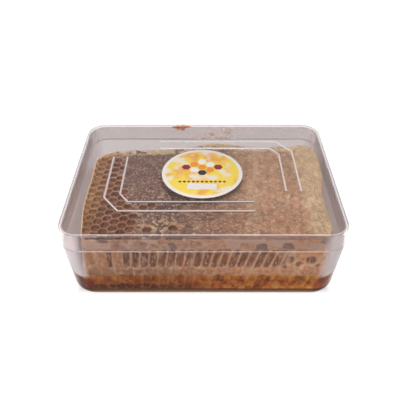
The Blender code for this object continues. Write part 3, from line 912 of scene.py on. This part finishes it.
def lean_in(lean, y, z):
    """How far one end of the slab has moved in at this place."""
    most, from_y, reach, least = lean
    height = max((z - LEAN_Z) / (COMB_TOP - LEAN_Z), least)
    return most * smooth((from_y - y) / reach) * height


def side_share(x, y, z):
    """The share left of a distance x from the middle, where the slab's ends lean in."""
    if x < 0:
        return 1 + lean_in(LEFT_LEAN, y, z) / COMB_LEFT
    return 1 - lean_in(RIGHT_LEAN, y, z) / COMB_RIGHT * (x / COMB_RIGHT) ** RIGHT_LEAN_POWER


def slab_middle():
    return Vector(((COMB_LEFT + COMB_RIGHT) / 2, (COMB_FRONT + COMB_BACK) / 2))


def slab_wave(from_middle):
    """How far the hand-cut outline falls back in this direction."""
    return abs(noise.noise(from_middle.to_3d() / WAVE_LENGTH)) * COMB_WAVE


def slab_places():
    """Even steps round the slab: the quarter, whether on its corner, and the share of the way."""
    places = []
    for quarter, radius in enumerate(COMB_CORNERS):
        side = COMB_BACK - COMB_FRONT if quarter % 2 else COMB_RIGHT - COMB_LEFT
        straight = side - radius - COMB_CORNERS[(quarter + 1) % 4]
        arc_steps = round(radius * math.pi / 2 / SLAB_STEP)
        side_steps = round(straight / SLAB_STEP)
        places += [(quarter, True, step / arc_steps) for step in range(arc_steps)]
        places += [(quarter, False, step / side_steps) for step in range(side_steps)]
    return places


SLAB_PLACES = slab_places()


def slab_point(place, z, margin):
    """The slab's surface at height z before the knife's marks, grown by a margin, and which way it faces."""
    quarter, on_corner, share = SLAB_PLACES[place]
    draft = COMB_DRAFT * (COMB_TOP - z) + max(COMB_BOTTOM + COMB_FOOT_EDGE - z, 0)
    half = Vector((COMB_RIGHT - COMB_LEFT, COMB_BACK - COMB_FRONT)) / 2 - Vector((draft, draft))
    half += Vector((margin, margin))

    def arc(number, part):
        radius = max(COMB_CORNERS[number % 4] + margin, 0)
        out = heading(math.radians(90 * (number + part)))
        return corner_middle(number % 4, half.x, half.y, radius) + out * radius, out

    if on_corner:
        point, out = arc(quarter, share)
    else:
        start, out = arc(quarter, 1)
        point = start.lerp(arc(quarter + 1, 0)[0], share)
    point = point - point.normalized() * slab_wave(point) + slab_middle()
    if point.y > 0:
        point.y += back_reach(point.x) * point.y / COMB_BACK
    point.x *= side_share(point.x, point.y, z)
    return point, out


def smooth(share):
    share = min(max(share, 0), 1)
    return share * share * (3 - 2 * share)


def cut_marks(point, out, z):
    """What the knife laid open here: depth, how hollow, how pale and the tone of the cell."""
    on_side = smooth((max(abs(out.x), abs(out.y)) - 0.8) / 0.2)
    if abs(out.y) > abs(out.x):
        along, centre, span = point.x, slab_middle().x, COMB_RIGHT - COMB_LEFT
    else:
        along, centre, span = point.y, slab_middle().y, COMB_BACK - COMB_FRONT
    in_front = out.y < -0.5
    share = (along - centre) / span + 0.5
    lean = CUT_CELL_LEAN[0] + (CUT_CELL_LEAN[1] - CUT_CELL_LEAN[0]) * min(max(share, 0), 1)
    depth, hollow, pale, tone = 0.0, 0.0, 0.0, 0.5
    for row, (low, high, bite, row_hollow, row_pale) in enumerate(CUT_ROWS):
        if in_front and row and not TUBES_FROM_X < point.x < TUBES_TO_X:
            continue
        across = (along - centre - lean * (z - (low + high) / 2)) / CUT_CELL_STEP
        number = round(across)
        if in_front and row == 1 and number == CLOSED_TUBE:
            continue
        seed = Vector((number * 1.37, row * 5.1, out.x * 3 + out.y * 7))
        shift = noise.noise(seed) * CUT_CELL_SHIFT
        foot, tip = low + max(shift, 0), high + min(shift, 0) - abs(shift) * 0.5
        beside = (across - number) * CUT_CELL_STEP
        radius = CUT_CELL_RADIUS * (1 + 0.12 * noise.noise(seed * 2.3))
        beyond = max(foot + radius - z, z - (tip - radius), 0)
        away = math.hypot(beside, beyond) / radius
        inside = smooth((1.05 - away) / 0.35)
        edge = smooth(1 - abs(away - 1.08) / 0.22)
        if inside > 0:
            tone = 0.5 + noise.noise(seed * 1.9)
        depth = max(depth, inside * bite * (0.75 + 0.5 * noise.noise(seed * 3.1)))
        hollow = max(hollow, inside * row_hollow)
        # The lowest row shows a pale crescent at the foot of every other cell
        crescent = row == 0 and z < foot + radius * 0.8
        pale = max(pale, edge * (number % 2 * 0.8 if crescent else row_pale))
    if in_front and z > ROUND_CELLS_FROM_Z:
        for x, height, radius, bite in ROUND_CELLS:
            away = math.hypot(point.x / MM - x, z / MM - height) / radius
            inside = smooth((1.0 - away) / 0.4)
            depth += inside * bite * MM
            hollow = max(hollow, inside if bite > 0 else inside * 0.15)
            pale = max(pale, smooth(1 - abs(away - 1.05) / 0.2) * 0.9)
    return depth * on_side, hollow * on_side, pale * on_side, tone


def is_open(middle):
    """Cells stand open in a strip along the left side, wider to the front, and here and there beyond."""
    edge = OPEN_EDGE_X - OPEN_EDGE_SLOPE * (middle.y - OPEN_EDGE_Y)
    ragged = noise.noise(Vector((middle.x, middle.y, 0)) / RAGGED_LENGTH) * 5.3 * MM
    alone = any(math.hypot(middle.x - x, middle.y - y) < LONE_CELL_REACH for x, y in LONE_OPEN_CELLS)
    return alone or middle.x + ragged < edge


def wandered(point):
    """Bees never build a perfect grid: turns it a little and lets it drift."""
    turned = Matrix.Rotation(CELL_TURN, 2) @ point
    return turned + noise.noise_vector(turned.to_3d() / WANDER_LENGTH).xy * CELL_WANDER


class CombOperator(bpy.types.Operator):
    """Model the slab of comb: its top with open and capped cells, and its cut sides"""

    bl_idname = "comb_honey.comb"
    bl_label = "Comb"

    def execute(self, context):
        settings = context.scene.comb_honey_comb
        self.top(settings)
        self.sides(settings)
        return {"FINISHED"}

    def top(self, settings):
        bm = self.cells(settings)
        bm = self.subdivided(bm)
        self.relief(bm)
        self.cut_out(bm)
        self.close_below(bm)
        finish_piece("comb_top", bm, [capped_beeswax(settings)], "comb")

    def cells(self, settings):
        """A sheet of six-sided cells that share their corners, open or capped."""
        bm = bmesh.new()
        marks = {name: bm.verts.layers.float.new(name) for name in ("rim", "hollow", "tone", "fresh")}
        radius = settings.pitch / math.sqrt(3)
        columns = math.ceil(80 * MM / (1.5 * radius))
        rows = math.ceil(58 * MM / settings.pitch)
        for column in range(-columns, columns + 1):
            for row in range(-rows, rows + 1):
                x = column * 1.5 * radius
                y = (row + 0.5 * (column % 2)) * settings.pitch
                matrix = Matrix.Translation((x, y, 0)) @ Matrix.Rotation(math.radians(30), 4, "Z")
                bmesh.ops.create_circle(bm, cap_ends=True, segments=6, radius=radius, matrix=matrix)
        bmesh.ops.remove_doubles(bm, verts=bm.verts, dist=0.1 * MM)
        for vert in bm.verts:
            placed = wandered(vert.co.xy)
            vert.co = (placed.x, placed.y, COMB_TOP)
        bm.normal_update()
        if bm.faces[:][0].normal.z < 0:
            bmesh.ops.reverse_faces(bm, faces=bm.faces)
        cells = bm.faces[:]
        middles = {cell: cell.calc_center_median() for cell in cells}
        opened = [cell for cell in cells if is_open(middles[cell])]
        capped = [cell for cell in cells if not is_open(middles[cell])]
        for cell in opened:
            for vert in cell.verts:
                vert[marks["rim"]] = 1
        rim_step = (settings.rim / 2, -0.05 * MM, 1.0, 0.0)
        wall_step = (OPEN_WALL[0], OPEN_WALL[1] - settings.depth, *OPEN_WALL[2:])
        for width, fall, rim, hollow in (rim_step, OPEN_SHOULDER, wall_step, OPEN_FLOOR):
            bmesh.ops.inset_individual(bm, faces=opened, thickness=width, depth=fall, use_even_offset=True)
            for cell in opened:
                for vert in cell.verts:
                    vert[marks["rim"]] = rim
                    vert[marks["hollow"]] = hollow
        for width in CAPPING_STEPS:
            bmesh.ops.inset_individual(bm, faces=capped, thickness=width, depth=0, use_even_offset=True)
            for cell in capped:
                swell = 0.5 + 0.5 * noise.noise(middles[cell] / (4 * MM))
                for vert in cell.verts:
                    vert.co.z += CAPPING_SWELL * swell
                    vert[marks["rim"]] = 0
        for cell in cells:
            value = 0.5 + noise.noise(middles[cell] / (2.3 * MM))
            for vert in cell.verts:
                vert[marks["tone"]] = value
        return bm

    def subdivided(self, bm):
        """Rounds the sheet once with a subdivision surface and returns it as a new bmesh."""
        sheet = add_object("sheet", to_mesh("sheet", bm))
        step = sheet.modifiers.new("divide", "SUBSURF")
        step.subdivision_type = "SIMPLE"
        step.levels = 1
        graph = bpy.context.evaluated_depsgraph_get()
        rounded = bmesh.new()
        rounded.from_object(sheet, graph)
        bpy.data.objects.remove(sheet)
        return rounded

    def relief(self, bm):
        """Wrinkles the cappings, heaps the ragged wax at the right end, and marks where the wax is pale."""
        rim, hollow, fresh = (bm.verts.layers.float[name] for name in ("rim", "hollow", "fresh"))
        for vert in bm.verts:
            point = vert.co.copy()
            whole = 1 - max(vert[hollow], vert[rim])
            coarse = noise.fractal(point / WRINKLE_LENGTH, 0.8, 2.1, 3)
            fine = noise.noise(point / FINE_WRINKLE_LENGTH)
            vert.co.z += whole * (0.24 * coarse + 0.12 * fine) * MM
            border = RAGGED_WAX_X + noise.noise(Vector((point.y, 0, 0)) / (9 * MM)) * 5 * MM
            ragged = smooth((point.x - border) / (6 * MM) + 0.3)
            heap = max(noise.fractal(point / HEAP_LENGTH, 0.7, 2.2, 4), -0.3) + 0.35
            vert.co.z += ragged * heap * RAGGED_WAX_HEIGHT
            drift = noise.noise(point / (8 * MM)) * BAND_WIDTH
            band = 1 - abs(point.x + drift - BAND_X - BAND_SLOPE * point.y) / BAND_WIDTH
            back = smooth((point.y - (COMB_BACK + back_reach(point.x) - BACK_RIM)) / (2.5 * MM))
            back *= smooth((noise.noise(point / (3.2 * MM)) + 0.4) / 0.25)
            patch = smooth((noise.noise(point / (6 * MM)) - 0.25) / 0.3)
            away = math.hypot((point.x - CRUMBS.x) / 2, point.y - CRUMBS.y)
            near_crumbs = smooth(1.4 - away / CRUMBS_REACH)
            crumbs = smooth((noise.noise(point / CRUMB_LENGTH) + 0.05) / 0.2) * near_crumbs
            vert.co.z += crumbs * whole * 0.5 * MM
            vert[fresh] = max(
                ragged * 0.85, smooth(band) * 0.35, back, patch * 0.3 * whole, crumbs * 0.8 * whole
            )

    def cut_out(self, bm):
        """Cuts the sheet to the slab's outline by straight cuts, while the outline is made straight."""
        for vert in bm.verts:
            vert.co.x /= side_share(vert.co.x, vert.co.y, COMB_TOP)
            if vert.co.y > 0:
                vert.co.y /= 1 + back_reach(vert.co.x) / COMB_BACK
        middle = slab_middle()
        half = Vector((COMB_RIGHT - COMB_LEFT, COMB_BACK - COMB_FRONT)) / 2 - Vector((LIP, LIP)) * 0.7
        for cut in range(TOP_CUTS):
            out = heading(math.radians(360 * cut / TOP_CUTS))
            quarter = 4 * cut // TOP_CUTS
            radius = COMB_CORNERS[quarter]
            edge = middle + corner_middle(quarter, half.x, half.y, radius) + out * radius
            geometry = bm.verts[:] + bm.edges[:] + bm.faces[:]
            bmesh.ops.bisect_plane(
                bm, geom=geometry, dist=1e-7, plane_co=edge.to_3d(), plane_no=out.to_3d(), clear_outer=True
            )
        for vert in bm.verts:
            from_middle = vert.co.xy - middle
            near_edge = max(abs(from_middle.x) / half.x, abs(from_middle.y) / half.y)
            pull = slab_wave(from_middle) * smooth((near_edge - 0.85) / 0.15)
            vert.co.xy -= from_middle.normalized() * pull
            if vert.co.y > 0:
                vert.co.y *= 1 + back_reach(vert.co.x) / COMB_BACK
            vert.co.x *= side_share(vert.co.x, vert.co.y, COMB_TOP)

    def close_below(self, bm):
        """Carries the sheet's border down to the seat inside the sides and closes it."""
        border = [edge for edge in bm.edges if edge.is_boundary]
        for vert in raised_verts(bmesh.ops.extrude_edge_only(bm, edges=border)):
            vert.co.z = SEAT + 0.1 * MM
        bmesh.ops.holes_fill(bm, edges=[edge for edge in bm.edges if edge.is_boundary])
        bmesh.ops.recalc_face_normals(bm, faces=bm.faces)

    def sides(self, settings):
        """A cup whose thin lip stands round the top sheet, with the cut cells pressed into its outside."""
        outer = [(COMB_BOTTOM, 0.0), (COMB_BOTTOM + 0.6 * MM, 0.0), (COMB_BOTTOM + 1.3 * MM, 0.0)]
        steps = round((COMB_TOP - COMB_BOTTOM - COMB_FOOT_EDGE) / SIDE_STEP)
        for step in range(steps):
            outer.append((COMB_BOTTOM + COMB_FOOT_EDGE + step * SIDE_STEP, 0.0))
        lip_top = COMB_TOP - 0.1 * MM
        levels = outer + [(lip_top - 0.3 * MM, 0.0), (lip_top, LIP * 0.3), (lip_top, LIP * 0.7)]
        levels += [(lip_top - 0.3 * MM, LIP), (SEAT, LIP)]

        def where(place, level):
            z, inset = level
            point, out = slab_point(place, z, 0)
            depth = 0.0 if inset else cut_marks(point, out, z)[0]
            rough = 0.0 if inset else noise.noise(Vector((point.x, point.y, z)) / (1.5 * MM)) * 0.12 * MM
            point -= out * (depth + inset + rough)
            return (point.x, point.y, z)

        bm = carry(levels, len(SLAB_PLACES), where)
        marks = {name: bm.verts.layers.float.new(name) for name in ("hollow", "tone", "fresh")}
        place = bm.verts.layers.int["place"]
        for vert in bm.verts:
            point, out = slab_point(vert[place], vert.co.z, 0)
            _, hollow, pale, tone = cut_marks(point, out, vert.co.z)
            right_end = smooth((point.x - 60 * MM) / (8 * MM))
            bare = noise.noise(vert.co / (7 * MM))
            vert[marks["hollow"]] = hollow
            vert[marks["tone"]] = tone
            vert[marks["fresh"]] = max(pale, right_end * 0.3, smooth((bare - 0.2) / 0.3) * 0.3, -out.x * 0.7)
        finish_piece("comb_sides", bm, [cut_beeswax(settings)], "comb")


def drop(bm, centre, radii, ragged):
    """Adds a rounded blob with these half sizes, its outline drawn out by a share of them."""
    matrix = Matrix.Translation(centre) @ Matrix.Diagonal((*radii, 1))
    verts = bmesh.ops.create_icosphere(bm, subdivisions=4 if ragged else 2, radius=1, matrix=matrix)["verts"]
    for vert in verts:
        away = vert.co - centre
        spread = 1 + ragged * noise.fractal(vert.co / (2.6 * MM), 0.6, 2.2, 3)
        vert.co = centre + Vector((away.x * spread, away.y, away.z * spread))


def bubble(bm, centre, radius):
    """Adds a ring of painted highlight: the bright rim of a bubble that sticks to the front wall."""
    thin = min(radius * 0.4, 0.28 * MM)
    beside = Matrix.Translation(centre + Vector((radius, 0, 0)))
    ring = bmesh.ops.create_circle(bm, segments=6, radius=thin, matrix=beside)["verts"]
    edges = list({edge for vert in ring for edge in vert.link_edges})
    spun = {"axis": (0, 1, 0), "angle": math.tau, "steps": 12, "use_merge": True, "use_duplicate": False}
    bmesh.ops.spin(bm, geom=ring + edges, cent=centre, **spun)


class HoneyOperator(bpy.types.Operator):
    """Fill the tray's foot with liquid honey, and add its smears and drops, with painted highlights for the
    bubble rims and the comb's bright drops
    """

    bl_idname = "comb_honey.honey"
    bl_label = "Honey"

    def execute(self, context):
        settings = context.scene.comb_honey_honey
        box = context.scene.comb_honey_box
        honey = liquid_honey("liquid_honey", settings.colour, settings.density)
        self.pool(settings, box, honey)
        self.smears(settings, box)
        return {"FINISHED"}

    def pool(self, settings, box, honey):
        """The pool reaches just into the tray's wall and into the comb, so that no air shows between."""
        wall = honey_wall(box, settings.level + HONEY_CLIMB, box.wall - HONEY_IN_WALL)
        levels = wall + [
            grown_level(wall[-1], -0.5 * MM, settings.level + HONEY_CLIMB * 0.4),
            grown_level(wall[-1], -1.2 * MM, settings.level),
        ]
        pool = finish_piece("honey_pool", carry(levels, BOX_SEGMENTS, box_ring), [honey], "honey")

        def where(place, z):
            point, _ = slab_point(place, max(z, COMB_BOTTOM + COMB_FOOT_EDGE), -HONEY_IN_COMB)
            return (point.x, point.y, z)

        room = carry([COMB_BOTTOM + 1.5 * MM, settings.level + 5 * MM], len(SLAB_PLACES), where)
        combine(pool, room, "DIFFERENCE")

    def smears(self, settings, box):
        half_y = LID_HIGH.y
        under_lid = half_y - box.wall - 0.25 * MM
        back = half_y - box.wall * 2 - box.gap
        on_wall = back - 0.1 * MM
        smear = bmesh.new()
        for x, z, wide, tall in HONEY_SMEARS:
            drop(smear, Vector((x * MM, under_lid, z * MM)), (wide * MM, HONEY_SMEAR_DEPTH, tall * MM), 0.5)
        dense = liquid_honey("smeared_honey", settings.smear, settings.smear_density)
        finish_piece("honey_smear", smear, [dense])
        wax = bmesh.new()
        for x, z, wide, tall in WAX_SMEARS:
            drop(wax, Vector((x * MM, on_wall, z * MM)), (wide * MM, WAX_SMEAR_DEPTH, tall * MM), 0.6)
        finish_piece("wax_smear", wax, [smeared_wax()])
        glints = bmesh.new()
        for x, z, radius in BUBBLE_GLINTS:
            bubble(glints, Vector((x * MM, 0.25 * MM - back, z * MM)), radius * MM)
        count, first, step, middle = SPARKLE_BEADS
        for number in range(count):
            seed = Vector((number * 1.7, 0.5, 0))
            x = (first + number * step + BEADS_STRAY[0] * noise.noise(seed)) * MM
            z = (middle + BEADS_STRAY[1] * noise.noise(seed + Vector((0, 9, 0)))) * MM
            drop(glints, Vector((x, COMB_FRONT - 0.25 * MM, z)), [BEAD_RADIUS] * 3, 0)
        bmesh.ops.recalc_face_normals(glints, faces=glints.faces)
        # Painted glints: bubble rims and beads in pale plastic that stands for highlights
        glint_white = painted_highlight_plastic("painted_glint_white", settings.glint_white)
        finish_piece("painted_glints", glints, [glint_white])


def inlay(bm, sides, radius, x, y, low, material, turn=0.0, squash=1.0):
    """Adds a thin closed plate with this many sides to the print, flat on the label."""
    turned = Matrix.Rotation(turn, 4, "Z")
    place = Matrix.Translation((x, y, low)) @ Matrix.Diagonal((1, squash, 1, 1)) @ turned
    verts = bmesh.ops.create_circle(bm, cap_ends=True, segments=sides, radius=radius, matrix=place)["verts"]
    faces = list({face for vert in verts for face in vert.link_faces})
    raised = raised_verts(bmesh.ops.extrude_face_region(bm, geom=faces))
    bmesh.ops.translate(bm, verts=raised, vec=(0, 0, PRINT_THICKNESS))
    for vert in verts + raised:
        for face in vert.link_faces:
            face.material_index = material


class LabelOperator(bpy.types.Operator):
    """Model the round label with a plain print of cells and fields of colour"""

    bl_idname = "comb_honey.label"
    bl_label = "Label"

    def execute(self, context):
        settings = context.scene.comb_honey_label
        middle = (LABEL_LOW + LABEL_HIGH) / 2
        radius = (LABEL_HIGH.x - LABEL_LOW.x) / 2
        lid_top = LID_HIGH.z - context.scene.comb_honey_box.ridge_height
        bm = bmesh.new()
        bmesh.ops.create_cone(
            bm,
            cap_ends=True,
            segments=96,
            radius1=radius,
            radius2=radius,
            depth=settings.thickness,
            matrix=Matrix.Translation((middle.x, middle.y, lid_top + settings.thickness / 2 + GLUE)),
        )
        rims = [edge for edge in bm.edges if edge.calc_face_angle() > 1]
        bmesh.ops.bevel(
            bm, geom=rims, offset=LABEL_EDGE, segments=2, profile=0.5, affect="EDGES", material=-1
        )
        bmesh.ops.recalc_face_normals(bm, faces=bm.faces)
        finish_piece("label_disc", bm, [varnished_paper(settings)], "label")
        self.print_on(settings, middle, lid_top + settings.thickness)
        return {"FINISHED"}

    def print_on(self, settings, middle, low):
        inks = [
            printing_ink("dark_ink", settings.dark),
            printing_ink("red_ink", settings.red),
            printing_ink("white_ink", settings.paper),
            printing_ink("orange_ink", settings.warm),
        ]
        bm = bmesh.new()
        for column, row, ink in PRINTED_CELLS:
            x = middle.x + column * PRINT_PITCH * 0.866
            y = middle.y + CELLS_Y + (row + 0.5 * (column % 2)) * PRINT_PITCH
            inlay(bm, 6, PRINT_PITCH * 0.5, x, y, low, ink, math.radians(30))
        for step in range(-5, 6):
            inlay(bm, 12, DOT_RADIUS, middle.x + step * DOT_STEP, middle.y + DOTS_Y, low, step % 2)
        inlay(bm, 4, BAR_RADIUS, middle.x, middle.y + BAR_Y, low, 2, math.radians(45), BAR_SQUASH)
        bmesh.ops.recalc_face_normals(bm, faces=bm.faces)
        finish_piece("label_print", bm, inks)


def soft_light(name, place, size, power):
    """A square soft light that faces the middle of the box."""
    lamp = bpy.data.lights.new(name, "AREA")
    lamp.size = size
    lamp.energy = power
    made = add_object(name, lamp)
    made.location = place
    aim = Vector((0, 0, 0.02)) - Vector(place)
    made.rotation_euler = aim.to_track_quat("-Z", "Y").to_euler()


class StageOperator(bpy.types.Operator):
    """Set the floor, the white surroundings, the soft lights and the camera"""

    bl_idname = "comb_honey.stage"
    bl_label = "Stage"

    def execute(self, context):
        settings = context.scene.comb_honey_stage
        self.floor(settings)
        self.surroundings(context.scene, settings)
        for lamp in SOFT_LIGHTS:
            soft_light(*lamp)
        camera = add_object("camera", bpy.data.cameras.new("camera"))
        camera.location = settings.camera
        camera.rotation_euler = (settings.pitch, 0, 0)
        camera.data.lens = settings.lens
        camera.data.shift_x = settings.shift
        camera.data.clip_start = 0.01
        context.scene.camera = camera
        context.scene.view_settings.view_transform = "Standard"
        # Light runs along inside clear walls from edge to edge, and goes black if its path is cut short
        context.scene.cycles.max_bounces = 40
        context.scene.cycles.glossy_bounces = 32
        context.scene.cycles.transmission_bounces = 32
        return {"FINISHED"}

    def floor(self, settings):
        bm = bmesh.new()
        bmesh.ops.create_grid(bm, x_segments=1, y_segments=1, size=2)
        add_object("floor", to_mesh("floor", bm, [white_sweep(settings)]))

    def surroundings(self, scene, settings):
        world = bpy.data.worlds.new("white_room")
        world.use_nodes = True
        tree = world.node_tree
        tree.nodes.clear()
        sky = node(tree, "ShaderNodeBackground", {"Color": (1, 1, 1, 1), "Strength": settings.sky})
        node(tree, "ShaderNodeOutputWorld", {"Surface": sky})
        scene.world = world


OPERATORS = (BoxOperator, LabelOperator, CombOperator, HoneyOperator, StageOperator)


class CombHoneyPanel(bpy.types.Panel):
    """The pieces in the order they are made, with their settings"""

    bl_idname = "VIEW3D_PT_comb_honey"
    bl_label = "Comb Honey"
    bl_space_type = "VIEW_3D"
    bl_region_type = "UI"
    bl_category = "Comb Honey"

    def draw(self, context):
        for operator in OPERATORS:
            self.layout.operator(operator.bl_idname)
        for name in SETTINGS:
            box = self.layout.box()
            group = getattr(context.scene, name)
            for key in group.bl_rna.properties.keys():
                if key not in ("rna_type", "name"):
                    box.prop(group, key)


SETTINGS = {
    "comb_honey_box": BoxSettings,
    "comb_honey_label": LabelSettings,
    "comb_honey_comb": CombSettings,
    "comb_honey_honey": HoneySettings,
    "comb_honey_stage": StageSettings,
}


def register():
    for group in (*SETTINGS.values(), *OPERATORS, CombHoneyPanel):
        bpy.utils.register_class(group)
    for name, group in SETTINGS.items():
        setattr(bpy.types.Scene, name, PointerProperty(type=group))


def unregister():
    for name in SETTINGS:
        delattr(bpy.types.Scene, name)
    for group in (CombHoneyPanel, *OPERATORS[::-1], *reversed(SETTINGS.values())):
        bpy.utils.unregister_class(group)


def main():
    register()
    bpy.ops.comb_honey.box()
    bpy.ops.comb_honey.label()
    bpy.ops.comb_honey.comb()
    bpy.ops.comb_honey.honey()
    bpy.ops.comb_honey.stage()


if __name__ == "__main__":
    main()
